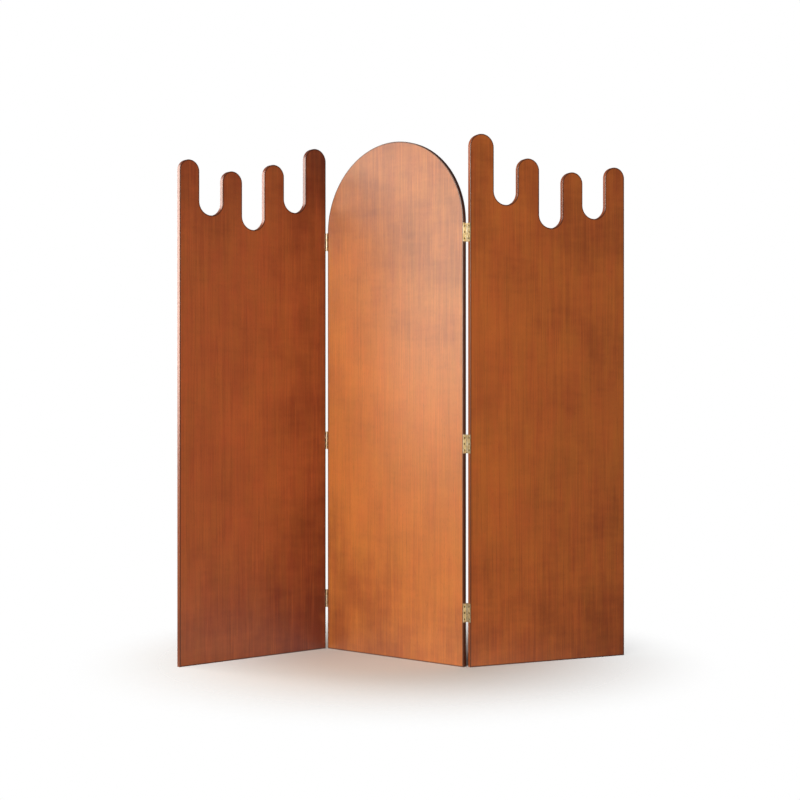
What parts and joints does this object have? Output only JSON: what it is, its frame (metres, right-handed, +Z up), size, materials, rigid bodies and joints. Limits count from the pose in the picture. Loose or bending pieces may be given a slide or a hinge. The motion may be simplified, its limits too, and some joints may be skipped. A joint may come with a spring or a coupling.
{
  "type": "folding screen",
  "caption": "Free-standing wooden folding screen: an arched centre board between boards with round-topped fingers, joined by brass butt hinges so that it folds in a zigzag.",
  "frame": {"origin": "middle of the centre board's bottom face, on the floor", "axes": "+Z up, front towards -Y, +X to the right as seen from the front; the boards stand in a zigzag"},
  "size_m": [1.5412, 0.3842, 1.7999],
  "materials": {
    "panel_wood": "red-brown stained wood with upright grain under satin varnish",
    "hinge_brass": "polished brass",
    "screw_brass": "turned brass"
  },
  "bodies": {
    "centre": {"centre_panel": "panel_wood", "left_top_hinge_centre_leaf": "hinge_brass", "left_top_hinge_pin": "hinge_brass", "left_top_hinge_centre_screws": "screw_brass", "left_middle_hinge_centre_leaf": "hinge_brass", "left_middle_hinge_pin": "hinge_brass", "left_middle_hinge_centre_screws": "screw_brass", "left_bottom_hinge_centre_leaf": "hinge_brass", "left_bottom_hinge_pin": "hinge_brass", "left_bottom_hinge_centre_screws": "screw_brass", "right_top_hinge_centre_leaf": "hinge_brass", "right_top_hinge_pin": "hinge_brass", "right_top_hinge_centre_screws": "screw_brass", "right_middle_hinge_centre_leaf": "hinge_brass", "right_middle_hinge_pin": "hinge_brass", "right_middle_hinge_centre_screws": "screw_brass", "right_bottom_hinge_centre_leaf": "hinge_brass", "right_bottom_hinge_pin": "hinge_brass", "right_bottom_hinge_centre_screws": "screw_brass"},
    "left": {"left_panel": "panel_wood", "left_top_hinge_outer_leaf": "hinge_brass", "left_top_hinge_outer_screws": "screw_brass", "left_middle_hinge_outer_leaf": "hinge_brass", "left_middle_hinge_outer_screws": "screw_brass", "left_bottom_hinge_outer_leaf": "hinge_brass", "left_bottom_hinge_outer_screws": "screw_brass"},
    "right": {"right_panel": "panel_wood", "right_top_hinge_outer_leaf": "hinge_brass", "right_top_hinge_outer_screws": "screw_brass", "right_middle_hinge_outer_leaf": "hinge_brass", "right_middle_hinge_outer_screws": "screw_brass", "right_bottom_hinge_outer_leaf": "hinge_brass", "right_bottom_hinge_outer_screws": "screw_brass"}
  },
  "joints": [
    {"name": "left_fold", "type": "hinge", "parent": "centre", "child": "left", "pos_m": [-0.2458, 0.17421, 0], "axis": [0, 0, 1], "range_deg": [-75.6, 104.4]},
    {"name": "right_fold", "type": "hinge", "parent": "centre", "child": "right", "pos_m": [0.2458, -0.17421, 0], "axis": [0, 0, 1], "range_deg": [-60.6, 119.4]}
  ]
}
